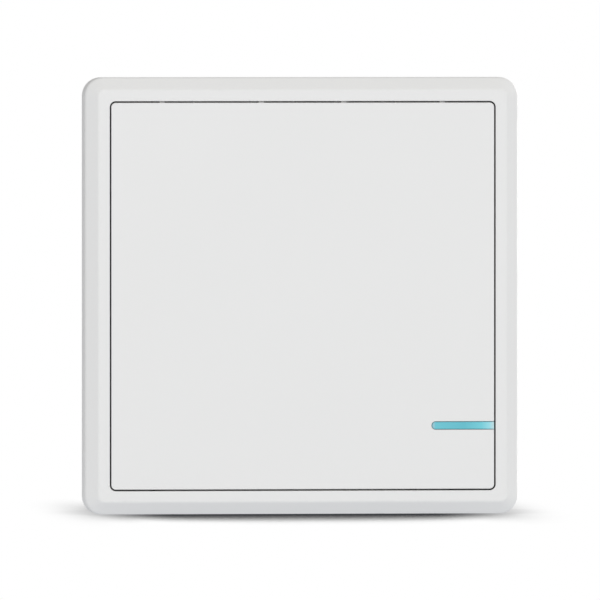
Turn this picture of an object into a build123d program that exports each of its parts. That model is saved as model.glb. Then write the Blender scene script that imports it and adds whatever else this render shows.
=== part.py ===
from build123d import *

import math
import os

# A square one-gang wall switch. A large momentary key hangs on four hinge noses at the top
# of a bevelled frame, carries a tinted indicator strip, and pushes a long-stroke switch on
# a small battery-powered board. The frame snaps over a flat base that screws to the wall.
#
# Every piece is drawn as it lies on its back on a bench: X to the right, Y up the wall and
# Z out of the wall, with the origin in the middle of the wall face. Sizes are millimetres.

# Frame
PLATE_SIZE = 86.0  # outer width and height
FRAME_DEPTH = 6.5  # front face to back edge
STAND_OFF = 5.5  # wall to the frame's back edge
CORNER_RADIUS = 3.7
BEVEL_WIDTH = 2.5  # bevel as seen from the front
BEVEL_DEPTH = 2.2
BORDER_FLAT = 2.2  # flat band between bevel and opening
FRAME_WALL = 1.6
BEVEL_TOP_ROUND = 0.8  # soft edge between the flat band and the bevel
BEVEL_SIDE_ROUND = 1.0  # soft edge between the bevel and the side wall
OPENING_RADIUS = 1.2
OPENING_CHAMFER = 0.1
LIP_DEPTH = 3.0  # return wall around the opening, from the front face
LIP_WALL = 1.2
PRY_WIDTH = 9.0  # screwdriver notch in the bottom wall
PRY_HEIGHT = 1.2

# Snap hooks between frame and base
SNAP_OFFSET = 18.0  # from the middle of each side
SNAP_LENGTH = 7.0
SNAP_REACH = 0.9
SNAP_HEIGHT = 1.6
SNAP_RISE = 1.7  # frame's back edge to the retaining face
SNAP_PLAY = 0.1
SNAP_SIDE_PLAY = 0.4

# Base
FLOOR = 2.0
FLANGE_INSET = 1.0  # plinth edge behind the frame's edge
FLANGE_CHAMFER = 0.4
BASE_CLEARANCE = 0.2  # rim to frame wall
RIM_WALL = 1.4
RIM_DROP = 3.4  # front face to the rim's top
RIB_WALL = 1.0
BASE_RIB_HEIGHT = 1.6
BASE_RIB_ROWS = (13.0, 26.0)
BASE_RIB_COLUMNS = (-20.0, 0.0, 20.0)
SCREW_SPACING = 60.3
SLOT_WIDTH = 4.2
SLOT_LENGTH = 9.0
SLOT_PAD_MARGIN = 3.0
SLOT_PAD_HEIGHT = 0.6
TAPE_LENGTH = 50.0  # shallow recesses in the back for adhesive tape
TAPE_WIDTH = 14.0
TAPE_DEPTH = 0.4
TAPE_CORNER = 1.0
TAPE_RISES = (-19.5, 19.5)  # from the middle of the back
GATE_RADIUS = 3.0  # dimple where the plastic entered the mould
GATE_DEPTH = 0.5
GATE_STUB_RADIUS = 0.7
GATE_STUB_HEIGHT = 0.3

# Key
KEY_GAP = 0.3
KEY_PLATE = 1.8
KEY_CHAMFER = 0.1
SKIRT_WALL = 1.2
SKIRT_DEPTH = 3.8  # front face to skirt edge
KEY_RIB_WALL = 0.8
KEY_RIB_HEIGHT = 0.8
KEY_RIB_PLACES = (-24.0, -12.0, 0.0, 12.0, 24.0)
PUSHER_LENGTH = 1.2  # post behind the key that meets the switch

# Hinge of the key, seated in the frame's upper lip
HINGE_PLACES = (-27.8, -8.2, 8.2, 27.8)
HINGE_WIDTH = 1.0
NOSE_RADIUS = 0.8
HINGE_CLEARANCE = 0.05
HINGE_SIDE_PLAY = 0.15
HINGE_REST_WIDTH = 3.0
SPACER_DEPTH = 0.8  # top of the spacing ribs, below the front face

# Stroke of the key at the switch
STROKE = 1.2
CONTACT_GAP = 0.05

# Limit hooks of the key and their catches on the base
LEG_RISE = 7.05  # above the key's lower edge
LEG_WIDTH = 5.0
LEG_WALL = 1.2
LEG_INSET = 0.65  # from the inside of the skirt
BARB_REACH = 0.9
BARB_HEIGHT = 1.4
CATCH_WALL = 1.2
CATCH_BRIDGE = 1.1
CATCH_PLAY = 0.3
STOP_GAP = 0.05

# Stop pads under the key's lower edge
PAD_INSET = 12.05  # from the key's side edges
PAD_LENGTH = 4.0
PAD_WIDTH = 2.0
PAD_THICK = 1.0
PAD_GAP = 0.1
POST_MARGIN = 0.5

# Indicator strip
STRIP_RISE = 12.47  # above the key's lower edge
STRIP_LENGTH = 12.4
STRIP_HEIGHT = 1.5
STRIP_FIT = 0.08
STRIP_CHAMFER = 0.1
STRIP_FLANGE_MARGIN = 0.9
STRIP_FLANGE_THICK = 0.8
LIGHT_LEG_LENGTH = 2.4
LIGHT_LEG_GAP = 0.3  # above the lamp with the key pressed

# Circuit board
BOARD_SIDE_GAP = 2.0  # to the key's limit hooks
BOARD_POST_GAP = 0.5  # to the posts under the stop pads
BOARD_CLIP_MARGIN = 0.9  # beyond the feet of the cell's clip
BOARD_THICK = 1.0
BOARD_CORNER = 1.5
BOSS_HEIGHT = 0.8
BOSS_RADIUS = 2.6
BOARD_SCREW_INSET = 2.5  # from the board's edges
SCREW_RADIUS = 0.95
SCREW_HEAD_RADIUS = 1.9
SCREW_HEAD_HEIGHT = 1.4
SCREW_HEAD_CHAMFER = 0.4
SCREW_GRIP = 2.0  # shank below the board
SCREW_CLEARANCE = 0.2
THREAD_PLAY = 0.05
CROSS_WIDTH = 0.5
CROSS_LENGTH = 2.2
CROSS_DEPTH = 0.7

# Push switch
SWITCH_SIZE = 6.2
SWITCH_DROP = 2.95  # below the board's middle
SWITCH_WALL = 0.7
SWITCH_FLOOR = 0.8
COVER_THICK = 0.3
COVER_TAB_WIDTH = 2.4
COVER_TAB_DROP = 1.8
STEM_RADIUS = 1.7
STEM_PLAY = 0.05
STEM_FLANGE_RADIUS = 2.2
STEM_FLANGE_THICK = 1.0
DOME_WALL = 0.4
DOME_FOOT_RADIUS = 2.1
DOME_TOP_RADIUS = 1.0
PIN_WIDTH = 0.7
PIN_THICK = 0.2
PIN_REACH = 1.3
PIN_SPACING = 4.5

# Coin cell and its contacts
CELL_SPACE = 0.8  # holder to the push switch's pins
CELL_RADIUS = 10.0
CELL_HEIGHT = 3.2
CELL_CAP_RADIUS = 8.8
CELL_CAP_HEIGHT = 0.5
CELL_EDGE = 0.3
HOLDER_PLAY = 0.2
HOLDER_WALL = 1.1
HOLDER_HEIGHT = 2.4
HOLDER_MOUTH = 5.0  # the ring is open beyond this distance to the left of the cell's centre
CONTACT_THICK = 0.3
CONTACT_SIZE = 9.0
CLIP_WIDTH = 5.0
CLIP_FOOT = 1.5
CLIP_PLAY = 0.05
CLIP_STAND = 0.3  # clip leg to holder

# Parts soldered to the right half of the board, placed from the board's middle
CHIP_PLACE = (11.5, 4.0)
CHIP_LENGTH = 4.9
CHIP_WIDTH = 3.9
CHIP_HEIGHT = 1.5
CHIP_PITCH = 1.27
CHIP_LEAD_WIDTH = 0.42
CHIP_LEAD_REACH = 1.0
CHIP_LEAD_THICK = 0.2
CHIP_LEADS_PER_SIDE = 4
CRYSTAL_PLACE = (15.0, -9.2)
CRYSTAL_LENGTH = 11.4
CRYSTAL_WIDTH = 4.6
CRYSTAL_HEIGHT = 3.4
CRYSTAL_BASE = 0.5
CRYSTAL_BASE_MARGIN = 0.3
TRANSISTOR_PLACE = (19.5, 3.0)
TRANSISTOR_LENGTH = 2.9
TRANSISTOR_WIDTH = 1.3
TRANSISTOR_HEIGHT = 1.0
RESISTOR_PLACES = ((7.0, -2.5), (10.5, -2.5), (20.0, 0.0), (24.5, 2.0), (24.5, 4.5))
CAPACITOR_PLACES = ((14.0, -2.5), (7.0, -6.0), (5.5, 7.5), (19.5, 7.0), (24.5, -9.0))
CHIP_PART_LENGTH = 1.6
CHIP_PART_WIDTH = 0.8
RESISTOR_HEIGHT = 0.45
CAPACITOR_HEIGHT = 0.8
LAMP_LENGTH = 2.0
LAMP_WIDTH = 1.25
LAMP_BASE = 0.3
LAMP_LENS = 0.5
ANTENNA_START = 6.0
ANTENNA_END_INSET = 7.0  # from the board's right edge
ANTENNA_INSET = 2.0  # from the board's upper edge
ANTENNA_RISE = 2.6
ANTENNA_WIDTH = 1.2
ANTENNA_THICK = 0.5
ANTENNA_BEND = 1.2

# Levels and outlines that follow from the sizes above
FRONT = STAND_OFF + FRAME_DEPTH
SNAP_TOP = STAND_OFF + SNAP_RISE
RIM_TOP = FRONT - RIM_DROP
BEVEL_START = FRONT - BEVEL_DEPTH
BEVEL_TAPER = math.degrees(math.atan2(BEVEL_WIDTH, BEVEL_DEPTH))
OPENING = PLATE_SIZE - 2 * (BEVEL_WIDTH + BORDER_FLAT)
LIP_BACK = FRONT - LIP_DEPTH
FRAME_INSIDE = PLATE_SIZE - 2 * FRAME_WALL
FLANGE_SIZE = PLATE_SIZE - 2 * FLANGE_INSET
RIM_OUTSIDE = FRAME_INSIDE - 2 * BASE_CLEARANCE
RIM_INSIDE = RIM_OUTSIDE - 2 * RIM_WALL
KEY_SIZE = OPENING - 2 * KEY_GAP
KEY_RADIUS = OPENING_RADIUS - KEY_GAP
KEY_BACK = FRONT - KEY_PLATE
SKIRT_EDGE = FRONT - SKIRT_DEPTH
SKIRT_INSIDE = KEY_SIZE - 2 * SKIRT_WALL
HINGE_Y = OPENING / 2 + LIP_WALL / 2
HINGE_Z = LIP_BACK
LEG_OUTSIDE = SKIRT_INSIDE / 2 - LEG_INSET
LEG_Y = -KEY_SIZE / 2 + LEG_RISE
CATCH_INSIDE = LEG_OUTSIDE + CATCH_PLAY
PAD_X = KEY_SIZE / 2 - PAD_INSET
POST_INSIDE = -KEY_SIZE / 2 + PAD_WIDTH + POST_MARGIN
HOLDER_RADIUS = CELL_RADIUS + HOLDER_PLAY + HOLDER_WALL
CLIP_LEG = HOLDER_RADIUS + CLIP_STAND
BOARD_WIDTH = 2 * (LEG_OUTSIDE - LEG_WALL - BOARD_SIDE_GAP)
BOARD_HEIGHT = 2 * (CLIP_LEG + CLIP_FOOT + BOARD_CLIP_MARGIN)
BOARD_Y = POST_INSIDE + BOARD_POST_GAP + BOARD_HEIGHT / 2
BOARD_BACK = FLOOR + BOSS_HEIGHT
BOARD_TOP = BOARD_BACK + BOARD_THICK
SWITCH_Y = BOARD_Y - SWITCH_DROP
SWITCH_HEIGHT = SWITCH_FLOOR + DOME_WALL + STROKE + STEM_FLANGE_THICK + CONTACT_GAP
COVER_TOP = BOARD_TOP + SWITCH_HEIGHT + COVER_THICK
STEM_TOP = KEY_BACK - PUSHER_LENGTH - CONTACT_GAP
STEM_BOTTOM = COVER_TOP - COVER_THICK - CONTACT_GAP - STEM_FLANGE_THICK
PRESS_ANGLE = math.atan2(STROKE, HINGE_Y - SWITCH_Y)
CELL_X = -(SWITCH_SIZE / 2 + PIN_REACH + CELL_SPACE + HOLDER_RADIUS)
CELL_Y = BOARD_Y
CELL_BOTTOM = BOARD_TOP + CONTACT_THICK
STRIP_END = KEY_SIZE / 2
STRIP_START = STRIP_END - STRIP_LENGTH
STRIP_Y = -KEY_SIZE / 2 + STRIP_RISE
LAMP_X = STRIP_START + STRIP_HEIGHT / 2 + LIGHT_LEG_LENGTH / 2
LAMP_TOP = BOARD_TOP + LAMP_BASE + LAMP_LENS
BOARD_SCREW_PLACES = (
    (-BOARD_WIDTH / 2 + BOARD_SCREW_INSET, BOARD_Y + BOARD_HEIGHT / 2 - BOARD_SCREW_INSET),
    (BOARD_WIDTH / 2 - BOARD_SCREW_INSET, BOARD_Y + BOARD_HEIGHT / 2 - BOARD_SCREW_INSET),
    (0.0, BOARD_Y - BOARD_HEIGHT / 2 + BOARD_SCREW_INSET),
)


def drop(y):
    """How far a point of the key at height y sinks when the key is pressed home."""
    return (HINGE_Y - y) * math.tan(PRESS_ANGLE)


CATCH_TOP = SKIRT_EDGE - drop(LEG_Y - LEG_WIDTH) - CATCH_PLAY
BARB_TOP = CATCH_TOP - CATCH_BRIDGE - STOP_GAP
PAD_TOP = SKIRT_EDGE - drop(-KEY_SIZE / 2) - PAD_GAP


def block(x, y, z):
    """A box between two limits on each axis."""
    (x0, x1), (y0, y1), (z0, z1) = x, y, z
    size = Box(x1 - x0, y1 - y0, z1 - z0)
    return Pos((x0 + x1) / 2, (y0 + y1) / 2, (z0 + z1) / 2) * size


def slab(outline, z0, z1):
    """A flat outline raised from z0 to z1."""
    return extrude(Pos(0, 0, z0) * outline, z1 - z0)


def square(size, radius):
    return RectangleRounded(size, size, radius)


def snap_places():
    """Both hook places on each of the four sides, each facing the middle of the switch."""
    for side in range(4):
        for offset in (-SNAP_OFFSET, SNAP_OFFSET):
            yield Rot(0, 0, 90 * side) * Pos(0, offset, 0)


def frame_shell():
    """Bevelled square shell of even wall, open at the back."""
    outside = square(PLATE_SIZE, CORNER_RADIUS)
    body = slab(outside, STAND_OFF, BEVEL_START)
    body += extrude(Pos(0, 0, BEVEL_START) * outside, BEVEL_DEPTH, taper=BEVEL_TAPER)
    soft_top = [e for e in body.edges() if abs(e.center().Z - FRONT) < 1e-4]
    body = fillet(soft_top, BEVEL_TOP_ROUND)
    soft_side = [
        e
        for e in body.edges()
        if abs(e.bounding_box().min.Z - BEVEL_START) < 1e-4
        and abs(e.bounding_box().max.Z - BEVEL_START) < 1e-4
    ]
    body = fillet(soft_side, BEVEL_SIDE_ROUND)
    slope = math.hypot(BEVEL_WIDTH, BEVEL_DEPTH)
    inner_start = BEVEL_START - FRAME_WALL * (slope - BEVEL_DEPTH) / BEVEL_WIDTH
    inside = square(FRAME_INSIDE, CORNER_RADIUS - FRAME_WALL)
    ceiling = FRONT - FRAME_WALL
    hollow = slab(inside, STAND_OFF, inner_start)
    hollow += extrude(Pos(0, 0, inner_start) * inside, ceiling - inner_start, taper=BEVEL_TAPER)
    return body - hollow


def snap_hook():
    """One wedge on the inside of a frame wall, drawn on the right-hand side."""
    wall = FRAME_INSIDE / 2
    tip = wall - SNAP_REACH
    low = SNAP_TOP - SNAP_HEIGHT
    profile = Polyline(
        (wall + FRAME_WALL / 2, 0, SNAP_TOP),
        (tip, 0, SNAP_TOP),
        (tip, 0, SNAP_TOP - SNAP_HEIGHT / 3),
        (wall, 0, low),
        (wall + FRAME_WALL / 2, 0, low),
        close=True,
    )
    return extrude(make_face(profile), SNAP_LENGTH / 2, dir=(0, 1, 0), both=True)


def frame():
    shell = frame_shell()
    lip = square(OPENING + 2 * LIP_WALL, OPENING_RADIUS + LIP_WALL)
    shell += slab(lip, LIP_BACK, FRONT - FRAME_WALL / 2)
    shell -= slab(square(OPENING, OPENING_RADIUS), LIP_BACK, FRONT)
    rim = [
        e
        for e in shell.edges()
        if abs(e.bounding_box().min.Z - FRONT) < 1e-4
        and max(abs(e.center().X), abs(e.center().Y)) <= OPENING / 2 + 1e-4
    ]
    shell = chamfer(rim, OPENING_CHAMFER)
    hook = snap_hook()
    for place in snap_places():
        shell += place * hook
    saddle = Rot(0, 90, 0) * Cylinder(
        NOSE_RADIUS + HINGE_CLEARANCE, HINGE_WIDTH + 2 * HINGE_SIDE_PLAY
    )
    for x in HINGE_PLACES:
        shell -= Pos(x, HINGE_Y, HINGE_Z) * saddle
    half = PRY_WIDTH / 2
    low = -PLATE_SIZE / 2
    shell -= block((-half, half), (low, low + FRAME_WALL), (STAND_OFF, STAND_OFF + PRY_HEIGHT))
    return shell


def base_tray():
    """Plinth with a flange that carries the frame, and the rim that its hooks catch."""
    flange = slab(square(FLANGE_SIZE, CORNER_RADIUS - FLANGE_INSET), 0, STAND_OFF)
    back_edges = [e for e in flange.edges() if e.bounding_box().max.Z < 1e-4]
    flange = chamfer(back_edges, FLANGE_CHAMFER)
    rim_radius = CORNER_RADIUS - FRAME_WALL - BASE_CLEARANCE
    tray = flange + slab(square(RIM_OUTSIDE, rim_radius), STAND_OFF, RIM_TOP)
    return tray - slab(Rectangle(RIM_INSIDE, RIM_INSIDE), FLOOR, RIM_TOP)


def base_ribs():
    """Stiffening ribs across the empty upper half of the floor."""
    half = RIM_INSIDE / 2
    top = FLOOR + BASE_RIB_HEIGHT
    ribs = Part()
    for y in BASE_RIB_ROWS:
        ribs += block((-half, half), (y - RIB_WALL / 2, y + RIB_WALL / 2), (FLOOR, top))
    for x in BASE_RIB_COLUMNS:
        span = (BASE_RIB_ROWS[0], half)
        ribs += block((x - RIB_WALL / 2, x + RIB_WALL / 2), span, (FLOOR, top))
    return ribs


def base_catch(side):
    """Windowed wall that holds one limit hook of the key, on the side given by its sign."""
    half = LEG_WIDTH / 2
    outside = CATCH_INSIDE + CATCH_WALL
    wall = block(
        (CATCH_INSIDE, outside),
        (LEG_Y - half - CATCH_PLAY - CATCH_WALL, LEG_Y + half + CATCH_PLAY + CATCH_WALL),
        (FLOOR, CATCH_TOP),
    )
    wall -= block(
        (CATCH_INSIDE, outside),
        (LEG_Y - half - CATCH_PLAY, LEG_Y + half + CATCH_PLAY),
        (FLOOR, BARB_TOP + STOP_GAP),
    )
    return wall if side > 0 else mirror(wall, Plane.YZ)


def base_plate():
    base = base_tray() + base_ribs()
    inside = RIM_INSIDE / 2
    window = block(
        (inside, RIM_OUTSIDE / 2),
        (-SNAP_LENGTH / 2 - SNAP_SIDE_PLAY, SNAP_LENGTH / 2 + SNAP_SIDE_PLAY),
        (0, SNAP_TOP + SNAP_PLAY),
    )
    for place in snap_places():
        base -= place * window
    rest_top = HINGE_Z - NOSE_RADIUS - HINGE_CLEARANCE
    half = HINGE_REST_WIDTH / 2
    for x in HINGE_PLACES:
        span = (HINGE_Y - NOSE_RADIUS, inside + RIM_WALL / 2)
        base += block((x - half, x + half), span, (FLOOR, rest_top))
    for side in (-1, 1):
        base += base_catch(side)
        reach = PAD_LENGTH / 2 + POST_MARGIN
        base += block(
            (side * PAD_X - reach, side * PAD_X + reach),
            (-inside, POST_INSIDE),
            (FLOOR, PAD_TOP - PAD_THICK),
        )
        place = Pos(side * SCREW_SPACING / 2, 0)
        pad = SlotOverall(SLOT_LENGTH + 2 * SLOT_PAD_MARGIN, SLOT_WIDTH + 2 * SLOT_PAD_MARGIN)
        base += slab(place * pad, FLOOR, FLOOR + SLOT_PAD_HEIGHT)
        base -= slab(place * SlotOverall(SLOT_LENGTH, SLOT_WIDTH), 0, FLOOR + SLOT_PAD_HEIGHT)
    for x, y in BOARD_SCREW_PLACES:
        base += slab(Pos(x, y) * Circle(BOSS_RADIUS), FLOOR, BOARD_BACK)
        pilot = Pos(x, y) * Circle(SCREW_RADIUS + THREAD_PLAY)
        base -= slab(pilot, BOARD_BACK - SCREW_GRIP - THREAD_PLAY, BOARD_BACK)
    for y in TAPE_RISES:
        tape = Pos(0, y) * RectangleRounded(TAPE_LENGTH, TAPE_WIDTH, TAPE_CORNER)
        base -= slab(tape, 0, TAPE_DEPTH)
    base -= slab(Circle(GATE_RADIUS) - Circle(GATE_STUB_RADIUS), 0, GATE_DEPTH)
    base -= slab(Circle(GATE_STUB_RADIUS), 0, GATE_DEPTH - GATE_STUB_HEIGHT)
    return base


def strip_outline(fit):
    """The strip's front outline: round at its inner end, square at the key's right edge."""
    radius = STRIP_HEIGHT / 2 + fit
    centre = STRIP_START + STRIP_HEIGHT / 2
    bar = Pos((centre + STRIP_END) / 2, STRIP_Y) * Rectangle(STRIP_END - centre, 2 * radius)
    return bar + Pos(centre, STRIP_Y) * Circle(radius)


def hinge_nose():
    """Rounded nose behind the frame's upper lip, its web, and a rib that keeps the gap even."""
    nose = Rot(0, 90, 0) * Cylinder(NOSE_RADIUS, HINGE_WIDTH)
    web = block(
        (-HINGE_WIDTH / 2, HINGE_WIDTH / 2),
        (KEY_SIZE / 2 - SKIRT_WALL / 2, HINGE_Y),
        (SKIRT_EDGE, HINGE_Z + NOSE_RADIUS / 2),
    )
    spacer = block(
        (-HINGE_WIDTH / 2, HINGE_WIDTH / 2),
        (KEY_SIZE / 2 - SKIRT_WALL / 2, OPENING / 2 - HINGE_CLEARANCE),
        (SKIRT_EDGE, FRONT - SPACER_DEPTH),
    )
    return Pos(0, HINGE_Y, HINGE_Z) * nose + web + spacer


def limit_leg(side):
    """Leg with an outward barb behind the key, on the side given by its sign."""
    width = (LEG_Y - LEG_WIDTH / 2, LEG_Y + LEG_WIDTH / 2)
    inside = LEG_OUTSIDE - LEG_WALL
    foot = BARB_TOP - BARB_HEIGHT
    tip = CATCH_INSIDE + BARB_REACH
    profile = Polyline(
        (inside, width[0], KEY_BACK),
        (inside, width[0], foot),
        (LEG_OUTSIDE, width[0], foot),
        (tip, width[0], BARB_TOP - BARB_HEIGHT / 3),
        (tip, width[0], BARB_TOP),
        (LEG_OUTSIDE, width[0], BARB_TOP),
        (LEG_OUTSIDE, width[0], KEY_BACK),
        close=True,
    )
    leg = extrude(make_face(profile), LEG_WIDTH, dir=(0, 1, 0))
    return leg if side > 0 else mirror(leg, Plane.YZ)


def key():
    body = slab(square(KEY_SIZE, KEY_RADIUS), SKIRT_EDGE, FRONT)
    face_edges = [e for e in body.edges() if e.bounding_box().min.Z > FRONT - 1e-4]
    body = chamfer(face_edges, KEY_CHAMFER)
    body -= slab(Rectangle(SKIRT_INSIDE, SKIRT_INSIDE), SKIRT_EDGE, KEY_BACK)
    half = SKIRT_INSIDE / 2
    for place in KEY_RIB_PLACES:
        span = (place - KEY_RIB_WALL / 2, place + KEY_RIB_WALL / 2)
        body += block(span, (-half, half), (KEY_BACK - KEY_RIB_HEIGHT, KEY_BACK))
        body += block((-half, half), span, (KEY_BACK - KEY_RIB_HEIGHT, KEY_BACK))
    nose = hinge_nose()
    for x in HINGE_PLACES:
        body += Pos(x, 0, 0) * nose
    body += limit_leg(-1) + limit_leg(1)
    pusher = Pos(0, SWITCH_Y) * Circle(STEM_RADIUS - 2 * CONTACT_GAP)
    body += slab(pusher, KEY_BACK - PUSHER_LENGTH, KEY_BACK)
    body -= slab(strip_outline(STRIP_FIT), KEY_BACK, FRONT)
    body -= slab(strip_flange(STRIP_FIT), KEY_BACK - KEY_RIB_HEIGHT, KEY_BACK)
    return body


def strip_flange(fit):
    """The hidden flange that seats the strip against the back of the key."""
    x0 = STRIP_START - STRIP_FLANGE_MARGIN
    x1 = SKIRT_INSIDE / 2 - STRIP_FLANGE_MARGIN
    height = STRIP_HEIGHT + 2 * STRIP_FLANGE_MARGIN
    return Pos((x0 + x1) / 2, STRIP_Y) * Rectangle(x1 - x0 + 2 * fit, height + 2 * fit)


def indicator_strip():
    strip = slab(strip_outline(0), KEY_BACK, FRONT)
    strip = chamfer(strip.edges().group_by(Axis.Z)[-1], STRIP_CHAMFER)
    strip += slab(strip_flange(0), KEY_BACK - STRIP_FLANGE_THICK, KEY_BACK)
    foot = LAMP_TOP + drop(STRIP_Y) + LIGHT_LEG_GAP
    leg = Pos(LAMP_X, STRIP_Y) * Rectangle(LIGHT_LEG_LENGTH, STRIP_HEIGHT)
    return strip + slab(leg, foot, KEY_BACK - STRIP_FLANGE_THICK)


def stop_pads():
    pads = Part()
    low = -KEY_SIZE / 2
    for side in (-1, 1):
        half = PAD_LENGTH / 2
        pads += block(
            (side * PAD_X - half, side * PAD_X + half),
            (low, low + PAD_WIDTH),
            (PAD_TOP - PAD_THICK, PAD_TOP),
        )
    return pads


def circuit_board():
    outline = Pos(0, BOARD_Y) * RectangleRounded(BOARD_WIDTH, BOARD_HEIGHT, BOARD_CORNER)
    for x, y in BOARD_SCREW_PLACES:
        outline -= Pos(x, y) * Circle(SCREW_RADIUS + SCREW_CLEARANCE)
    return slab(outline, BOARD_BACK, BOARD_TOP)


def board_screws():
    """Cross-head screws with a chamfered head, seated on the board."""
    screw = slab(Circle(SCREW_HEAD_RADIUS), 0, SCREW_HEAD_HEIGHT)
    screw = chamfer(screw.edges().group_by(Axis.Z)[-1], SCREW_HEAD_CHAMFER)
    screw += slab(Circle(SCREW_RADIUS), -BOARD_THICK - SCREW_GRIP, 0)
    for turn in (0, 90):
        cut = Box(CROSS_LENGTH, CROSS_WIDTH, 2 * CROSS_DEPTH)
        screw -= Pos(0, 0, SCREW_HEAD_HEIGHT) * Rot(0, 0, turn) * cut
    screws = Part()
    for x, y in BOARD_SCREW_PLACES:
        screws += Pos(x, y, BOARD_TOP) * screw
    return screws


def switch_body():
    well = SWITCH_SIZE - 2 * SWITCH_WALL
    body = slab(Rectangle(SWITCH_SIZE, SWITCH_SIZE), BOARD_TOP, BOARD_TOP + SWITCH_HEIGHT)
    body -= slab(Rectangle(well, well), BOARD_TOP + SWITCH_FLOOR, BOARD_TOP + SWITCH_HEIGHT)
    return Pos(0, SWITCH_Y) * body


def switch_cover():
    half = SWITCH_SIZE / 2
    plate = Rectangle(SWITCH_SIZE + 2 * COVER_THICK, SWITCH_SIZE) - Circle(STEM_RADIUS + STEM_PLAY)
    cover = slab(plate, COVER_TOP - COVER_THICK, COVER_TOP)
    tab = (-COVER_TAB_WIDTH / 2, COVER_TAB_WIDTH / 2)
    for side in (-1, 1):
        x = sorted((side * half, side * (half + COVER_THICK)))
        cover += block(x, tab, (COVER_TOP - COVER_THICK - COVER_TAB_DROP, COVER_TOP))
    return Pos(0, SWITCH_Y) * cover


def switch_stem():
    stem = slab(Circle(STEM_FLANGE_RADIUS), STEM_BOTTOM, STEM_BOTTOM + STEM_FLANGE_THICK)
    return Pos(0, SWITCH_Y) * (stem + slab(Circle(STEM_RADIUS), STEM_BOTTOM, STEM_TOP))


def rubber_dome():
    """Soft dome that pushes the stem back, a cone of even wall on the switch's floor."""
    low = BOARD_TOP + SWITCH_FLOOR
    high = STEM_BOTTOM - CONTACT_GAP
    profile = Polyline(
        (0, 0, high),
        (DOME_TOP_RADIUS, 0, high),
        (DOME_FOOT_RADIUS, 0, low + DOME_WALL),
        (DOME_FOOT_RADIUS, 0, low),
        (DOME_FOOT_RADIUS - DOME_WALL, 0, low),
        (DOME_TOP_RADIUS - DOME_WALL, 0, high - DOME_WALL),
        (0, 0, high - DOME_WALL),
        close=True,
    )
    return Pos(0, SWITCH_Y) * revolve(make_face(profile), Axis.Z)


def gull_lead(start, width, reach, rise, thick):
    """One bent lead that leaves a body at x = start, steps down and stands on the board."""
    half = width / 2
    step = start + reach / 2
    lead = block((start, step), (-half, half), (rise - thick, rise))
    lead += block((step - thick, step), (-half, half), (0, rise))
    return lead + block((step - thick, start + reach), (-half, half), (0, thick))


def switch_pins():
    lead = gull_lead(SWITCH_SIZE / 2, PIN_WIDTH, PIN_REACH, SWITCH_FLOOR, PIN_THICK)
    pins = Part()
    for turn in (0, 180):
        for y in (-PIN_SPACING / 2, PIN_SPACING / 2):
            pins += Pos(0, SWITCH_Y, BOARD_TOP) * Rot(0, 0, turn) * Pos(0, y, 0) * lead
    return pins


def coin_cell():
    """Can with its flat side to the front and the smaller cap on the board's side."""
    top = CELL_BOTTOM + CELL_HEIGHT
    profile = Polyline(
        (0, 0, CELL_BOTTOM),
        (CELL_CAP_RADIUS, 0, CELL_BOTTOM),
        (CELL_CAP_RADIUS, 0, CELL_BOTTOM + CELL_CAP_HEIGHT),
        (CELL_RADIUS, 0, CELL_BOTTOM + CELL_CAP_HEIGHT),
        (CELL_RADIUS, 0, top - CELL_EDGE),
        (CELL_RADIUS - CELL_EDGE, 0, top),
        (0, 0, top),
        close=True,
    )
    return Pos(CELL_X, CELL_Y) * revolve(make_face(profile), Axis.Z)


def cell_holder():
    """Ring around the cell, open to the left so that the cell slides out."""
    ring = Circle(HOLDER_RADIUS) - Circle(CELL_RADIUS + HOLDER_PLAY)
    ring -= Pos(-HOLDER_MOUTH - HOLDER_RADIUS / 2, 0) * Rectangle(HOLDER_RADIUS, 2 * HOLDER_RADIUS)
    return slab(Pos(CELL_X, CELL_Y) * ring, BOARD_TOP, BOARD_TOP + HOLDER_HEIGHT)


def negative_contact():
    return slab(Pos(CELL_X, CELL_Y) * Rectangle(CONTACT_SIZE, CONTACT_SIZE), BOARD_TOP, CELL_BOTTOM)


def positive_clip():
    """Sprung strip bent over the cell, with a foot above and below it."""
    low = CELL_BOTTOM + CELL_HEIGHT + CLIP_PLAY
    high = low + CONTACT_THICK
    width = (-CLIP_WIDTH / 2, CLIP_WIDTH / 2)
    clip = block(width, (-CLIP_LEG, CLIP_LEG), (low, high))
    for side in (-1, 1):
        y = sorted((side * CLIP_LEG, side * (CLIP_LEG + CONTACT_THICK)))
        clip += block(width, y, (BOARD_TOP, high))
        y = sorted((side * CLIP_LEG, side * (CLIP_LEG + CLIP_FOOT)))
        clip += block(width, y, (BOARD_TOP, BOARD_TOP + CONTACT_THICK))
    return Pos(CELL_X, CELL_Y) * clip


def transmitter_chip():
    x, y = CHIP_PLACE
    stand = CHIP_LEAD_THICK / 2
    chip = block(
        (-CHIP_LENGTH / 2, CHIP_LENGTH / 2), (-CHIP_WIDTH / 2, CHIP_WIDTH / 2), (stand, CHIP_HEIGHT)
    )
    lead = gull_lead(CHIP_WIDTH / 2, CHIP_LEAD_WIDTH, CHIP_LEAD_REACH, CHIP_HEIGHT / 2, CHIP_LEAD_THICK)
    for turn in (90, -90):
        for i in range(CHIP_LEADS_PER_SIDE):
            along = (i - (CHIP_LEADS_PER_SIDE - 1) / 2) * CHIP_PITCH
            chip += Rot(0, 0, turn) * Pos(0, along, 0) * lead
    return Pos(x, BOARD_Y + y, BOARD_TOP) * chip


def quartz_crystal():
    x, y = CRYSTAL_PLACE
    base = Rectangle(CRYSTAL_LENGTH + 2 * CRYSTAL_BASE_MARGIN, CRYSTAL_WIDTH + 2 * CRYSTAL_BASE_MARGIN)
    can = slab(SlotOverall(CRYSTAL_LENGTH, CRYSTAL_WIDTH), 0, CRYSTAL_HEIGHT)
    return Pos(x, BOARD_Y + y, BOARD_TOP) * (can + slab(base, 0, CRYSTAL_BASE))


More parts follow.
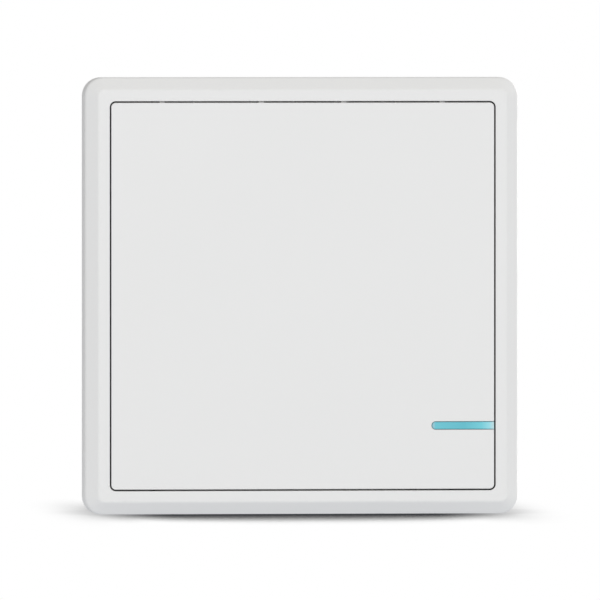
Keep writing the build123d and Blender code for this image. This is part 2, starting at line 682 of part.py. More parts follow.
def rf_transistor():
    x, y = TRANSISTOR_PLACE
    half = TRANSISTOR_LENGTH / 2
    stand = CHIP_LEAD_THICK / 2
    body = block(
        (-half, half), (-TRANSISTOR_WIDTH / 2, TRANSISTOR_WIDTH / 2), (stand, TRANSISTOR_HEIGHT)
    )
    lead = gull_lead(
        TRANSISTOR_WIDTH / 2, CHIP_LEAD_WIDTH, CHIP_LEAD_REACH / 2, TRANSISTOR_HEIGHT / 2, CHIP_LEAD_THICK
    )
    for turn, along in ((90, -half / 2), (90, half / 2), (-90, 0)):
        body += Rot(0, 0, turn) * Pos(0, along, 0) * lead
    return Pos(x, BOARD_Y + y, BOARD_TOP) * body


def chip_parts(places, height):
    """A group of small soldered blocks."""
    group = Part()
    for x, y in places:
        part = Pos(x, BOARD_Y + y) * Rectangle(CHIP_PART_LENGTH, CHIP_PART_WIDTH)
        group += slab(part, BOARD_TOP, BOARD_TOP + height)
    return group


def indicator_led():
    lens = LAMP_LENGTH - 2 * LAMP_BASE
    lamp = slab(Rectangle(LAMP_LENGTH, LAMP_WIDTH), 0, LAMP_BASE)
    lamp += slab(Rectangle(lens, LAMP_WIDTH), LAMP_BASE, LAMP_BASE + LAMP_LENS)
    return Pos(LAMP_X, STRIP_Y, BOARD_TOP) * lamp


def antenna_loop():
    """Stamped copper strip, bent into a loop and soldered on end along the board's upper edge."""
    y = BOARD_Y + BOARD_HEIGHT / 2 - ANTENNA_INSET
    end = BOARD_WIDTH / 2 - ANTENNA_END_INSET
    top = BOARD_TOP + ANTENNA_RISE
    path = FilletPolyline(
        (ANTENNA_START, y, BOARD_TOP),
        (ANTENNA_START, y, top),
        (end, y, top),
        (end, y, BOARD_TOP),
        radius=ANTENNA_BEND,
    )
    section = Pos(ANTENNA_START, y, BOARD_TOP) * Rectangle(ANTENNA_THICK, ANTENNA_WIDTH)
    return sweep(section, path=path)


PIECES = {
    "frame": frame(),
    "base_plate": base_plate(),
    "key": key(),
    "indicator_strip": indicator_strip(),
    "stop_pads": stop_pads(),
    "circuit_board": circuit_board(),
    "board_screws": board_screws(),
    "switch_body": switch_body(),
    "switch_cover": switch_cover(),
    "switch_stem": switch_stem(),
    "rubber_dome": rubber_dome(),
    "switch_pins": switch_pins(),
    "coin_cell": coin_cell(),
    "cell_holder": cell_holder(),
    "negative_contact": negative_contact(),
    "positive_clip": positive_clip(),
    "transmitter_chip": transmitter_chip(),
    "quartz_crystal": quartz_crystal(),
    "rf_transistor": rf_transistor(),
    "chip_resistors": chip_parts(RESISTOR_PLACES, RESISTOR_HEIGHT),
    "chip_capacitors": chip_parts(CAPACITOR_PLACES, CAPACITOR_HEIGHT),
    "indicator_led": indicator_led(),
    "antenna_loop": antenna_loop(),
}

# The switch stands upright against the wall, with its face towards -Y.
UPRIGHT = Rot(90, 0, 0)
os.makedirs("parts", exist_ok=True)
for name, piece in PIECES.items():
    export_step(UPRIGHT * piece, f"parts/{name}.step")
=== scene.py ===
import math

import bmesh
import bpy
from mathutils import Matrix, Vector


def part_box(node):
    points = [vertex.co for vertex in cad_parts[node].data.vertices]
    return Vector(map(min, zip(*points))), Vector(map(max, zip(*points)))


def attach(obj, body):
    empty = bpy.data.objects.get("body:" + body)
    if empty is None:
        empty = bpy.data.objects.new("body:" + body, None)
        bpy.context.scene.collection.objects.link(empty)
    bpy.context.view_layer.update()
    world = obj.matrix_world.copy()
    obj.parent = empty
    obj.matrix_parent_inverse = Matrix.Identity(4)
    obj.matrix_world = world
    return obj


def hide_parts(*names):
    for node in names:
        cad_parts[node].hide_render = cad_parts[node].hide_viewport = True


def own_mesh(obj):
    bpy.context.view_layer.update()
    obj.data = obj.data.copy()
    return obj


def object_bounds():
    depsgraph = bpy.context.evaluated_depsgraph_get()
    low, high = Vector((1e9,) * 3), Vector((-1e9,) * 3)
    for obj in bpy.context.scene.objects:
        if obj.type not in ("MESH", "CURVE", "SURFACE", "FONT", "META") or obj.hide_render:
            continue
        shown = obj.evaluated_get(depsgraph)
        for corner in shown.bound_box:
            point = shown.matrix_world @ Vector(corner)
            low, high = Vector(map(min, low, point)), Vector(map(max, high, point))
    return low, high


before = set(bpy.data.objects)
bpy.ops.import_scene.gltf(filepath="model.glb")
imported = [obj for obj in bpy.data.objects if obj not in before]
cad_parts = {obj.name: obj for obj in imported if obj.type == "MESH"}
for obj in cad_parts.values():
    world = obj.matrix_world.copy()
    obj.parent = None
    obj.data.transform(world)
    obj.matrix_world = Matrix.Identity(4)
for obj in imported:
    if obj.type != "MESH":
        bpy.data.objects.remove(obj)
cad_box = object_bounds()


# Base plate: the flat back that is screwed to the wall, moulded in one shot from white ABS.
# Its mould was spark-eroded, so it has a fine matt skin. It carries the board and the cell, and
# the frame's hooks snap into windows in its rim.
def paint(red, green, blue):
    """A colour chart's levels, 0 to 255, as the colour that a shader takes."""
    shares = [level / 255 for level in (red, green, blue)]
    return [s / 12.92 if s <= 0.04045 else ((s + 0.055) / 1.055) ** 2.4 for s in shares] + [1.0]


def start_material(name):
    """A new material, its node tree and its shader."""
    material = bpy.data.materials.new(name)
    material.use_nodes = True
    return material, material.node_tree, material.node_tree.nodes["Principled BSDF"]


def add(tree, kind, given=None, **settings):
    """A node with its settings. Each of its inputs is given a plain value or another node's output."""
    node = tree.nodes.new("ShaderNode" + kind)
    for name, value in settings.items():
        setattr(node, name, value)
    for name, value in (given or {}).items():
        if isinstance(value, bpy.types.NodeSocket):
            tree.links.new(value, node.inputs[name])
        else:
            node.inputs[name].default_value = value
    return node


def blend(tree, share, first, second):
    """A colour that goes from first to second with a share from 0 to 1."""
    mix = add(tree, "Mix", data_type="RGBA")
    tree.links.new(share, mix.inputs["Factor"])
    for end, colour in zip([s for s in mix.inputs if s.type == "RGBA"], (first, second)):
        if isinstance(colour, bpy.types.NodeSocket):
            tree.links.new(colour, end)
        else:
            end.default_value = colour
    return [s for s in mix.outputs if s.type == "RGBA"][0]


def span(tree, value, low, high, start=0.0, end=1.0):
    """A value that eases from low to high while the given one goes from start to end."""
    given = {"Value": value, "From Min": start, "From Max": end, "To Min": low, "To Max": high}
    return add(tree, "MapRange", given, interpolation_type="SMOOTHSTEP").outputs["Result"]


def feed(tree, shader, **sources):
    """Links outputs to the shader's inputs: base_color goes to Base Color, and so on."""
    for name, source in sources.items():
        tree.links.new(source, shader.inputs[name.replace("_", " ").title()])


def dress(material, *nodes):
    """Gives CAD nodes their finish."""
    for node in nodes:
        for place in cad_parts[node].material_slots:
            place.material = material


def start_group(name, inputs, outputs):
    """A shader node group with these number inputs and outputs, and its two end nodes."""
    group = bpy.data.node_groups.new(name, "ShaderNodeTree")
    for label, value in inputs.items():
        socket = group.interface.new_socket(label, in_out="INPUT", socket_type="NodeSocketFloat")
        socket.default_value = value
    for label in outputs:
        group.interface.new_socket(label, in_out="OUTPUT", socket_type="NodeSocketFloat")
    return group, group.nodes.new("NodeGroupInput"), group.nodes.new("NodeGroupOutput")


# The skin of a moulding: the melt leaves a slow drift of tone, and the mould a fine grain.
moulded_skin, given, result = start_group(
    "moulded_skin", {"Drift scale": 40.0, "Grain scale": 3000.0}, ("Drift", "Grain"))
place = add(moulded_skin, "TexCoord").outputs["Object"]
drift = add(moulded_skin, "TexNoise", {"Vector": place, "Scale": given.outputs["Drift scale"], "Detail": 3.0})
grain = add(moulded_skin, "TexNoise", {"Vector": place, "Scale": given.outputs["Grain scale"], "Detail": 2.0})
moulded_skin.links.new(drift.outputs["Fac"], result.inputs["Drift"])
moulded_skin.links.new(grain.outputs["Fac"], result.inputs["Grain"])


def moulding(name, dark, light, polish, tooth, drift_scale=40.0, grain_scale=3000.0):
    """A moulded finish whose colour drifts from dark to light. Its roughness lies in the span
    polish, and tooth is how far in metres its grain stands up."""
    material, tree, shader = start_material(name)
    skin = add(tree, "Group", node_tree=moulded_skin)
    skin.inputs["Drift scale"].default_value = drift_scale
    skin.inputs["Grain scale"].default_value = grain_scale
    relief = add(tree, "Bump", {"Height": skin.outputs["Grain"], "Distance": tooth})
    feed(tree, shader, base_color=blend(tree, skin.outputs["Drift"], dark, light),
         roughness=span(tree, skin.outputs["Grain"], *polish), normal=relief.outputs["Normal"])
    return material


white_base = moulding("white_base", paint(216, 218, 217), paint(230, 231, 229), polish=(0.45, 0.62),
                      tooth=0.000010, drift_scale=60.0, grain_scale=4000.0)
dress(white_base, "base_plate")


# Stop pads: two grey silicone pads under the key's lower edge, stuck to posts on the base.
# They are cut from sheet and have a dull, slightly dusty skin.
grey_rubber = moulding("grey_rubber", paint(112, 112, 115), paint(138, 138, 140), polish=(0.70, 0.90),
                       tooth=0.000015, drift_scale=900.0, grain_scale=6000.0)
dress(grey_rubber, "stop_pads")


# Circuit board: glass-epoxy sheet under green solder mask, routed out of a larger panel.
# Copper tracks show as paler green lines under the mask, small tinned holes join the two sides,
# and the routed edges are bare epoxy.
green_board, tree, shader = start_material("green_board")
field_scale, track_scale, hole_scale, weave_scale = 130.0, 260.0, 210.0, 900.0
weave_depth = 0.000006
place = add(tree, "TexCoord")
facing_front = (math.radians(90), 0.0, 0.0)
flat = add(tree, "Mapping", {"Vector": place.outputs["Object"], "Rotation": facing_front}).outputs["Vector"]
fields = add(tree, "TexVoronoi", {"Vector": flat, "Scale": field_scale}, distance="CHEBYCHEV")
field_tone = add(tree, "SeparateColor", {"Color": fields.outputs["Color"]})
runs_up = add(tree, "Math", {0: field_tone.outputs["Red"], 1: 0.5}, operation="GREATER_THAN").outputs[0]
tracks_up = add(tree, "TexWave", {"Vector": flat, "Scale": track_scale}, bands_direction="X")
tracks_along = add(tree, "TexWave", {"Vector": flat, "Scale": track_scale}, bands_direction="Y")
tracks = blend(tree, runs_up, tracks_along.outputs["Color"], tracks_up.outputs["Color"])
on_track = span(tree, tracks, 0.0, 1.0, start=0.80, end=0.88)
mask = blend(tree, field_tone.outputs["Green"], paint(16, 86, 44), paint(24, 104, 56))
masked = blend(tree, on_track, mask, paint(52, 132, 74))
holes = add(tree, "TexVoronoi", {"Vector": flat, "Scale": hole_scale, "Randomness": 0.8})
in_ring = span(tree, holes.outputs["Distance"], 1.0, 0.0, start=0.085, end=0.095)
in_hole = span(tree, holes.outputs["Distance"], 1.0, 0.0, start=0.040, end=0.048)
ringed = blend(tree, in_hole, blend(tree, in_ring, masked, paint(196, 196, 188)), paint(20, 22, 20))
weave = add(tree, "TexWave", {"Vector": flat, "Scale": weave_scale, "Distortion": 1.5},
            bands_direction="DIAGONAL")
normal = add(tree, "SeparateXYZ", {"Vector": place.outputs["Normal"]})
upright = add(tree, "Math", {0: normal.outputs["Y"]}, operation="ABSOLUTE")
on_face = add(tree, "Math", {0: upright.outputs[0], 1: 0.5}, operation="GREATER_THAN").outputs[0]
relief = add(tree, "Bump", {"Height": weave.outputs["Fac"], "Distance": weave_depth})
feed(tree, shader, base_color=blend(tree, on_face, paint(176, 158, 104), ringed),
     roughness=span(tree, on_face, 0.85, 0.32), normal=relief.outputs["Normal"])
dress(green_board, "circuit_board")


# Push switch: a square black housing with a soft dome inside, a sliding stem, a folded steel
# cover that keeps the stem in, and four tinned pins soldered to the board.
black_plastic = moulding("black_plastic", paint(30, 30, 31), paint(42, 42, 43), polish=(0.38, 0.55),
                         tooth=0.000006, drift_scale=300.0, grain_scale=5000.0)
dress(black_plastic, "switch_body", "cell_holder")
stem_plastic = moulding("stem_plastic", paint(58, 58, 60), paint(70, 70, 72), polish=(0.28, 0.40),
                        tooth=0.000003, drift_scale=300.0, grain_scale=6000.0)
dress(stem_plastic, "switch_stem")
soft_rubber = moulding("soft_rubber", paint(172, 172, 166), paint(194, 194, 188), polish=(0.60, 0.80),
                       tooth=0.000008, drift_scale=700.0, grain_scale=6000.0)

# The dome stands on the switch's floor: a ring foot, a thin web that buckles, and a thick top with
# a pill under it. Its section is radius and height in millimetres, from the top's middle to the pill's.
dome_section = (
    (0.0, 1.55), (0.86, 1.55), (0.97, 1.51), (1.0, 1.40), (1.16, 1.14), (1.68, 0.52), (1.78, 0.43),
    (1.92, 0.40), (2.05, 0.40), (2.10, 0.35), (2.10, 0.05), (2.05, 0.0), (1.74, 0.0), (1.70, 0.06),
    (1.40, 0.40), (0.86, 1.02), (0.74, 1.10), (0.58, 1.10), (0.52, 0.94), (0.46, 0.90), (0.0, 0.90),
)
low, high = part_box("rubber_dome")
dome_foot = Vector(((low.x + high.x) / 2, high.y, (low.z + high.z) / 2))
turned = bmesh.new()
corners = [
    turned.verts.new(dome_foot + Vector((radius, -height, 0.0)) / 1000) for radius, height in dome_section
]
for first, second in zip(corners, corners[1:]):
    turned.edges.new((first, second))
bmesh.ops.spin(turned, geom=turned.verts[:] + turned.edges[:], cent=dome_foot, axis=(0.0, 1.0, 0.0),
               angle=math.tau, steps=48, use_merge=True)
bmesh.ops.remove_doubles(turned, verts=turned.verts, dist=1e-7)
bmesh.ops.recalc_face_normals(turned, faces=turned.faces)
for face in turned.faces:
    face.smooth = True
dome_mesh = bpy.data.meshes.new("soft_dome")
turned.to_mesh(dome_mesh)
turned.free()
dome_mesh.materials.append(soft_rubber)
soft_dome = bpy.data.objects.new("soft_dome", dome_mesh)
bpy.context.scene.collection.objects.link(soft_dome)
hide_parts("rubber_dome")
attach(soft_dome, "housing")
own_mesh(soft_dome)

# The skin of worked metal: the lines of rolling or drawing along X, and dull blotches of handling.
worked_metal, given, result = start_group(
    "worked_metal", {"Line scale": 4000.0, "Blotch scale": 500.0}, ("Lines", "Blotches"))
place = add(worked_metal, "TexCoord").outputs["Object"]
drawn = add(worked_metal, "Mapping", {"Vector": place, "Scale": (0.04, 1.0, 1.0)}).outputs["Vector"]
lines = add(worked_metal, "TexNoise", {"Vector": drawn, "Scale": given.outputs["Line scale"], "Detail": 2.0})
blotches = add(worked_metal, "TexNoise",
               {"Vector": place, "Scale": given.outputs["Blotch scale"], "Detail": 4.0})
worked_metal.links.new(lines.outputs["Fac"], result.inputs["Lines"])
worked_metal.links.new(blotches.outputs["Fac"], result.inputs["Blotches"])


def metal(name, dull, bright, polish, scratch, line_scale=4000.0, blotch_scale=500.0):
    """A bare or plated metal finish, from dull to bright, with its lines scratch metres deep."""
    material, tree, shader = start_material(name)
    skin = add(tree, "Group", node_tree=worked_metal)
    skin.inputs["Line scale"].default_value = line_scale
    skin.inputs["Blotch scale"].default_value = blotch_scale
    relief = add(tree, "Bump", {"Height": skin.outputs["Lines"], "Distance": scratch})
    feed(tree, shader, base_color=blend(tree, skin.outputs["Blotches"], dull, bright),
         roughness=span(tree, skin.outputs["Blotches"], *polish), normal=relief.outputs["Normal"])
    shader.inputs["Metallic"].default_value = 1.0
    return material


bright_steel = metal("bright_steel", paint(178, 178, 176), paint(214, 214, 212), polish=(0.34, 0.18),
                     scratch=0.000002)
dress(bright_steel, "switch_cover", "positive_clip", "quartz_crystal")
tinned_metal = metal("tinned_metal", paint(176, 176, 170), paint(206, 206, 200), polish=(0.50, 0.28),
                     scratch=0.000002, line_scale=2500.0, blotch_scale=1500.0)
dress(tinned_metal, "switch_pins", "negative_contact")


# Radio parts: a black moulded chip and transistor on bent tinned leads, glazed resistors and
# tan ceramic capacitors with tinned ends, a lamp under the strip, and a bent copper aerial.
def leaded_chip(name, node, body_half, seam=0.00002):
    """Black moulding compound, with tinned leads beyond half the body's height from its middle."""
    material, tree, shader = start_material(name)
    low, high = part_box(node)
    skin = add(tree, "Group", node_tree=moulded_skin)
    skin.inputs["Drift scale"].default_value, skin.inputs["Grain scale"].default_value = 800.0, 9000.0
    axis = add(tree, "SeparateXYZ", {"Vector": add(tree, "TexCoord").outputs["Object"]})
    off_middle = add(tree, "Math", {0: axis.outputs["Z"], 1: (low.z + high.z) / 2}, operation="SUBTRACT")
    reach = add(tree, "Math", {0: off_middle.outputs[0]}, operation="ABSOLUTE")
    beyond = {0: reach.outputs[0], 1: body_half + seam}
    lead = add(tree, "Math", beyond, operation="GREATER_THAN").outputs[0]
    compound = blend(tree, skin.outputs["Drift"], paint(36, 36, 38), paint(52, 52, 54))
    relief = add(tree, "Bump", {"Height": skin.outputs["Grain"], "Distance": 0.000004})
    feed(tree, shader, base_color=blend(tree, lead, compound, paint(200, 200, 194)), metallic=lead,
         roughness=span(tree, lead, 0.62, 0.35), normal=relief.outputs["Normal"])
    dress(material, node)


leaded_chip("chip_black", "transmitter_chip", body_half=0.00195)
leaded_chip("transistor_black", "rf_transistor", body_half=0.00065)


def ended_chips(name, node, middles, dark, light, body_half=0.0005):
    """Small ceramic blocks, each tinned beyond half its body's length to either side of its middle."""
    material, tree, shader = start_material(name)
    skin = add(tree, "Group", node_tree=moulded_skin)
    skin.inputs["Drift scale"].default_value, skin.inputs["Grain scale"].default_value = 1200.0, 9000.0
    axis = add(tree, "SeparateXYZ", {"Vector": add(tree, "TexCoord").outputs["Object"]})
    nearest = None
    for middle in middles:
        offset = add(tree, "Math", {0: axis.outputs["X"], 1: middle}, operation="SUBTRACT").outputs[0]
        reach = add(tree, "Math", {0: offset}, operation="ABSOLUTE").outputs[0]
        if nearest is None:
            nearest = reach
        else:
            nearest = add(tree, "Math", {0: nearest, 1: reach}, operation="MINIMUM").outputs[0]
    tinned = add(tree, "Math", {0: nearest, 1: body_half}, operation="GREATER_THAN").outputs[0]
    ceramic = blend(tree, skin.outputs["Drift"], dark, light)
    feed(tree, shader, base_color=blend(tree, tinned, ceramic, paint(204, 204, 198)), metallic=tinned,
         roughness=span(tree, skin.outputs["Grain"], 0.25, 0.45))
    dress(material, node)


resistor_middles = (0.007, 0.0105, 0.020, 0.0245)
capacitor_middles = (0.014, 0.007, 0.0055, 0.0195, 0.0245)
ended_chips("resistor_black", "chip_resistors", resistor_middles, paint(30, 30, 34), paint(48, 48, 52))
ended_chips("capacitor_tan", "chip_capacitors", capacitor_middles, paint(150, 118, 84), paint(178, 146, 108))

lamp_lens, tree, shader = start_material("lamp_lens")
low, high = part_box("indicator_led")
lamp_height = low.y - high.y
axis = add(tree, "SeparateXYZ", {"Vector": add(tree, "TexCoord").outputs["Object"]})
lens_foot, lens_clear = high.y + lamp_height * 0.35, high.y + lamp_height * 0.5
in_lens = span(tree, axis.outputs["Y"], 0.0, 1.0, start=lens_foot, end=lens_clear)
feed(tree, shader, base_color=blend(tree, in_lens, paint(238, 238, 232), paint(228, 226, 176)),
     roughness=span(tree, in_lens, 0.5, 0.12))
dress(lamp_lens, "indicator_led")

copper_strip = metal("copper_strip", paint(168, 100, 66), paint(218, 146, 104), polish=(0.45, 0.25),
                     scratch=0.000003, line_scale=3500.0, blotch_scale=700.0)
dress(copper_strip, "antenna_loop")


# Coin cell: a nickel-plated steel can, bright from the press, held in the black ring under a
# sprung clip. Fine rings show on its flat side.
cell_steel, tree, shader = start_material("cell_steel")
low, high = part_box("coin_cell")
ring_scale, ring_depth = 1400.0, 0.000002
place = add(tree, "TexCoord").outputs["Object"]
centred = add(tree, "Mapping", {"Vector": place, "Location": -(low + high) / 2}).outputs["Vector"]
rings = add(tree, "TexWave", {"Vector": centred, "Scale": ring_scale, "Distortion": 0.4},
            wave_type="RINGS", rings_direction="Y")
skin = add(tree, "Group", node_tree=worked_metal)
relief = add(tree, "Bump", {"Height": rings.outputs["Fac"], "Distance": ring_depth})
feed(tree, shader,
     base_color=blend(tree, skin.outputs["Blotches"], paint(188, 188, 184), paint(222, 222, 218)),
     roughness=span(tree, skin.outputs["Blotches"], 0.34, 0.16), normal=relief.outputs["Normal"])
shader.inputs["Metallic"].default_value = 1.0
dress(cell_steel, "coin_cell")


# Board screws: three small cross-head screws in zinc-plated steel, headed and rolled from wire.
# They go through the board into bosses on the base and hold it there.
screw_steel = metal("screw_steel", paint(150, 152, 150), paint(196, 198, 194), polish=(0.46, 0.26),
                    scratch=0.000002, line_scale=3000.0, blotch_scale=900.0)
dress(screw_steel, "board_screws")


# Key: the large press key, a ribbed moulding in white ABS with a satin face. It hangs on four
# noses along its top edge, and two barbed legs near its lower edge stop it from lifting off.
white_key = moulding("white_key", paint(229, 229, 228), paint(231, 231, 230), polish=(0.46, 0.56),
                     tooth=0.000003)

# Painted shade in the narrow gap round the key: walls that face sideways and stand at the gap's distance from
# the middle are darkened in place of the shade that falls in the gap.
painted_gap_shade, given, result = start_group("painted_gap_shade", {"Gap distance": 0.0380, "Gap reach": 0.0005}, ("Shade",))
place = add(painted_gap_shade, "TexCoord").outputs
normal = add(painted_gap_shade, "SeparateXYZ", {"Vector": place["Normal"]})
upright = add(painted_gap_shade, "Math", {0: normal.outputs["Y"]}, operation="ABSOLUTE").outputs[0]
sideways = span(painted_gap_shade, upright, 1.0, 0.0, start=0.3, end=0.6)
off_middle = add(painted_gap_shade, "VectorMath", {0: place["Object"]}, operation="ABSOLUTE").outputs["Vector"]
axis = add(painted_gap_shade, "SeparateXYZ", {"Vector": off_middle})
reach = add(painted_gap_shade, "Math", {0: axis.outputs["X"], 1: axis.outputs["Z"]}, operation="MAXIMUM").outputs[0]
at_gap = add(painted_gap_shade, "Math",
             {0: reach, 1: given.outputs["Gap distance"], 2: given.outputs["Gap reach"]},
             operation="COMPARE").outputs[0]
shaded_wall = add(painted_gap_shade, "Math", {0: sideways, 1: at_gap}, operation="MULTIPLY").outputs[0]
painted_gap_shade.links.new(shaded_wall, result.inputs["Shade"])


def paint_gap_shade(material, gap_distance):
    """Darkens a moulded finish with painted shade at the gap."""
    tree, shader = material.node_tree, material.node_tree.nodes["Principled BSDF"]
    clean = shader.inputs["Base Color"].links[0].from_socket
    gap_shade = add(tree, "Group", node_tree=painted_gap_shade)
    gap_shade.inputs["Gap distance"].default_value = gap_distance
    # The grey that the painted shade darkens the gap's walls to.
    feed(tree, shader, base_color=blend(tree, gap_shade.outputs["Shade"], clean, paint(150, 149, 146)))


key_edge = 0.0380
# The key's walls at the gap get painted shade.
paint_gap_shade(white_key, key_edge)
dress(white_key, "key")


# Indicator strip: a flush bar of tinted clear plastic, pressed into the key from behind. It is deepest in the
# middle and pales towards the key's edge. Its left end carries a painted highlight, and its rim a thin dark
# line of painted shade from the fine gap round it.
tinted_strip, tree, shader = start_material("tinted_strip")
strip_start, strip_end, strip_half, strip_height = 0.0256, 0.0380, 0.00075, -0.02553
axis = add(tree, "SeparateXYZ", {"Vector": add(tree, "TexCoord").outputs["Object"]})
along = add(tree, "MapRange", {"Value": axis.outputs["X"], "From Min": strip_start, "From Max": strip_end})
tint = add(tree, "ValToRGB", {"Fac": along.outputs["Result"]})
# The pale stop at the left end is a painted highlight; the stop at the right end is the strip's pale end.
painted_highlight_end, clear_end = tint.color_ramp.elements
painted_highlight_end.position, painted_highlight_end.color = 0.025, paint(142, 190, 203)
clear_end.position, clear_end.color = 0.99, paint(184, 216, 220)
tints_between = (
    (0.06, paint(86, 190, 205)), (0.52, paint(74, 181, 197)),
    (0.80, paint(96, 199, 212)), (0.92, paint(138, 214, 225)),
)
for share, colour in tints_between:
    tint.color_ramp.elements.new(share).color = colour
# The dark rim is painted shade of the fine gap round the strip, weaker towards the key's edge.
past_round = add(tree, "Math", {0: axis.outputs["X"], 1: strip_start + strip_half}, operation="SUBTRACT")
into_round = add(tree, "Math", {0: past_round.outputs[0], 1: 0.0}, operation="MINIMUM")
off_middle = add(tree, "Math", {0: axis.outputs["Z"], 1: strip_height}, operation="SUBTRACT")
spot = add(tree, "CombineXYZ", {"X": into_round.outputs[0], "Y": off_middle.outputs[0]})
reach = add(tree, "VectorMath", {0: spot.outputs["Vector"]}, operation="LENGTH").outputs["Value"]
near_rim_shade = span(tree, reach, 0.0, 1.0, start=0.00052, end=0.00074)
rim_shade_strength = span(tree, along.outputs["Result"], 1.0, 0.3, start=0.7, end=1.0)
painted_rim_shade = add(tree, "Math", {0: near_rim_shade, 1: rim_shade_strength}, operation="MULTIPLY").outputs[0]
skin = add(tree, "Group", node_tree=moulded_skin)
# The rim's darker colour is the painted shade.
feed(tree, shader, base_color=blend(tree, painted_rim_shade, tint.outputs["Color"], paint(92, 168, 181)),
     roughness=span(tree, skin.outputs["Grain"], 0.16, 0.26))
shader.inputs["Coat Weight"].default_value = 0.3
dress(tinted_strip, "indicator_strip")


# Frame: the bevelled surround in white ABS. Eight hooks inside its walls snap into the base, and
# saddles in its upper lip hold the key's hinge noses. Its mould was polished more finely than the
# base's.
white_frame = moulding("white_frame", paint(229, 229, 228), paint(231, 231, 230), polish=(0.50, 0.60),
                       tooth=0.000003)
opening_edge = 0.0383
# The frame's walls at the opening get painted shade.
paint_gap_shade(white_frame, opening_edge)
dress(white_frame, "frame")


# Studio: the part stands on a white sheet that slopes down a little towards the camera, with white
# all round it. Soft light comes from all sides, least from behind on the left. A large lamp stands
# in front, and a smaller one low behind on the right.
def seen_as_white(tree):
    """1 for what is seen straight, mirrored or through clear plastic, 0 for light that spreads."""
    ray = add(tree, "LightPath").outputs
    seen = add(tree, "Math", {0: ray["Is Camera Ray"], 1: ray["Is Transmission Ray"]}, operation="MAXIMUM")
    return add(tree, "Math", {0: seen.outputs[0], 1: ray["Is Glossy Ray"]}, operation="MAXIMUM").outputs[0]


plain_white = (1.0, 1.0, 1.0, 1.0)
studio = bpy.data.worlds.new("studio")
studio.use_nodes = True
bpy.context.scene.world = studio
tree = studio.node_tree
tree.nodes.clear()
around = add(tree, "TexCoord").outputs["Generated"]
towards = add(tree, "SeparateXYZ", {"Vector": around})
level_light, overhead_light, dimmed = 1.36, 0.50, 0.32
from_height = span(tree, towards.outputs["Z"], level_light, overhead_light)
behind_on_the_left = (-0.6, 0.8, 0.0)
left_behind = add(tree, "VectorMath", {0: around, 1: behind_on_the_left},
                  operation="DOT_PRODUCT").outputs["Value"]
from_side = span(tree, left_behind, 1.0, dimmed, start=0.15, end=0.8)
strength = add(tree, "Math", {0: from_height, 1: from_side}, operation="MULTIPLY")
soft_light = add(tree, "Background", {"Color": (1.0, 0.996, 0.990, 1.0), "Strength": strength.outputs[0]})
mirrored = add(tree, "LightPath").outputs["Is Glossy Ray"]
dark_card = add(tree, "Math", {0: mirrored, 1: left_behind}, operation="MULTIPLY").outputs[0]
wall_strength = span(tree, dark_card, 1.0, dimmed, start=0.15, end=0.8)
white_walls = add(tree, "Background", {"Color": plain_white, "Strength": wall_strength})
both = add(tree, "MixShader", {0: seen_as_white(tree), 1: soft_light.outputs[0], 2: white_walls.outputs[0]})
add(tree, "OutputWorld", {"Surface": both.outputs[0]})


def place_lamp(name, size, watts, place):
    """A large soft lamp, turned towards the part."""
    lamp = bpy.data.lights.new(name, "AREA")
    lamp.size, lamp.energy, lamp.color = size, watts, (1.0, 0.985, 0.96)
    stand = bpy.data.objects.new(name, lamp)
    stand.location = place
    stand.rotation_euler = (-stand.location).to_track_quat("-Z", "Y").to_euler()
    bpy.context.scene.collection.objects.link(stand)


place_lamp("front_lamp", size=1.6, watts=6.7, place=(-0.15, -1.6, 0.1))
place_lamp("back_lamp", size=0.8, watts=20.0, place=(0.95, 1.16, 0.05))

sheet_half, sheet_slope, sheet_shift = 3.0, math.radians(3.8), -0.0114
sheet = bmesh.new()
bmesh.ops.create_grid(sheet, x_segments=1, y_segments=1, size=sheet_half)
bmesh.ops.rotate(sheet, verts=sheet.verts, cent=(0.0, 0.0, 0.0), matrix=Matrix.Rotation(sheet_slope, 3, "X"))
bmesh.ops.translate(sheet, verts=sheet.verts, vec=(0.0, sheet_shift, cad_box[0].z))
floor_mesh = bpy.data.meshes.new("floor")
sheet.to_mesh(floor_mesh)
sheet.free()
floor = bpy.data.objects.new("floor", floor_mesh)
bpy.context.scene.collection.objects.link(floor)

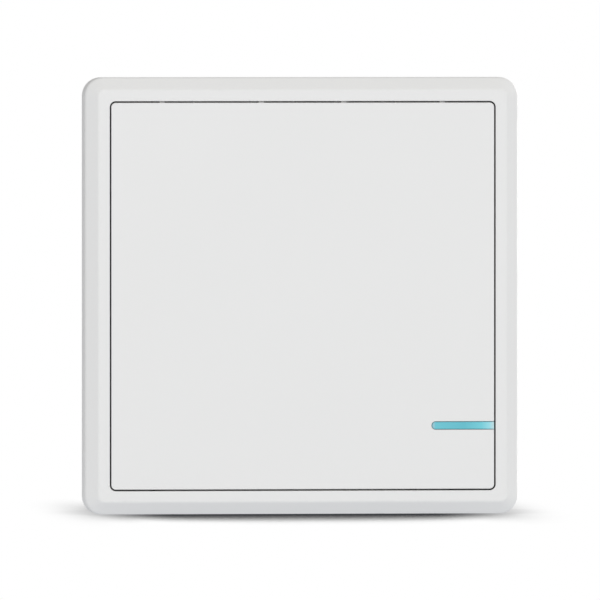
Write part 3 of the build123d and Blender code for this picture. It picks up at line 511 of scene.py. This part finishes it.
# The sheet's shadow is drawn from how much the part covers it. It is spread a little at both ends
# of the part and fades out beyond them.
floor_sheet, tree, shader = start_material("floor_sheet")
tree.nodes.remove(shader)
spot = add(tree, "SeparateXYZ", {"Vector": add(tree, "TexCoord").outputs["Object"]})
to_end = add(tree, "Math", {0: spot.outputs["X"]}, operation="ABSOLUTE").outputs[0]
openness = add(tree, "AmbientOcclusion", {"Distance": 0.04}, samples=16)
wider_at_ends = span(tree, to_end, 0.0, 0.12, start=0.030, end=0.047)
open_share = add(tree, "Math", {0: openness.outputs["AO"], 1: wider_at_ends}, operation="SUBTRACT")
shadow = add(tree, "ValToRGB", {"Fac": open_share.outputs[0]})
darkest, lightest = shadow.color_ramp.elements
darkest.position, darkest.color = 0.545, (0.045, 0.047, 0.052, 1.0)
lightest.position, lightest.color = 0.80, plain_white
for share, grey in ((0.60, 0.105), (0.635, 0.175), (0.695, 0.42), (0.745, 0.76)):
    shadow.color_ramp.elements.new(share).color = (grey, grey, grey, 1.0)
past_end = span(tree, to_end, 0.0, 1.0, start=0.025, end=0.054)
faded = blend(tree, past_end, shadow.outputs["Color"], plain_white)
white_sheet = add(tree, "Emission", {"Color": faded})
glow = span(tree, spot.outputs["Y"], 0.80, 0.35, start=-0.01, end=0.03)
lit_sheet = add(tree, "Emission", {"Color": (0.80, 0.822, 0.862, 1.0), "Strength": glow})
upper = add(tree, "MixShader", {0: seen_as_white(tree), 1: lit_sheet.outputs[0], 2: white_sheet.outputs[0]})
under = add(tree, "BsdfTransparent")
facing = add(tree, "NewGeometry")
both = add(tree, "MixShader", {0: facing.outputs["Backfacing"], 1: upper.outputs[0], 2: under.outputs[0]})
tree.links.new(both.outputs[0], tree.nodes["Material Output"].inputs["Surface"])
floor_mesh.materials.append(floor_sheet)


# Camera: a very long lens about five metres away, so that the part's edges stay nearly parallel.
# It stands a little to the left of the part and a little above it.
azimuth, elevation = math.radians(-8.0), math.radians(0.8)
distance, pixels_per_metre, picture_width = 5.2, 5075.0, 600
aside, lift = 0.00108, -0.00096
level = math.cos(elevation)
back = Vector((math.sin(azimuth) * level, -math.cos(azimuth) * level, math.sin(elevation)))
right = Vector((math.cos(azimuth), math.sin(azimuth), 0.0))
up = back.cross(right)
camera_data = bpy.data.cameras.new("camera")
camera_data.sensor_width = 36.0
camera_data.lens = pixels_per_metre * distance * camera_data.sensor_width / picture_width
camera_data.clip_end = 20.0
camera = bpy.data.objects.new("camera", camera_data)
camera.location = aside * right + lift * up + distance * back
camera.rotation_euler = (-back).to_track_quat("-Z", "Y").to_euler()
bpy.context.scene.collection.objects.link(camera)
bpy.context.scene.camera = camera
bpy.context.scene.view_settings.view_transform = "Standard"
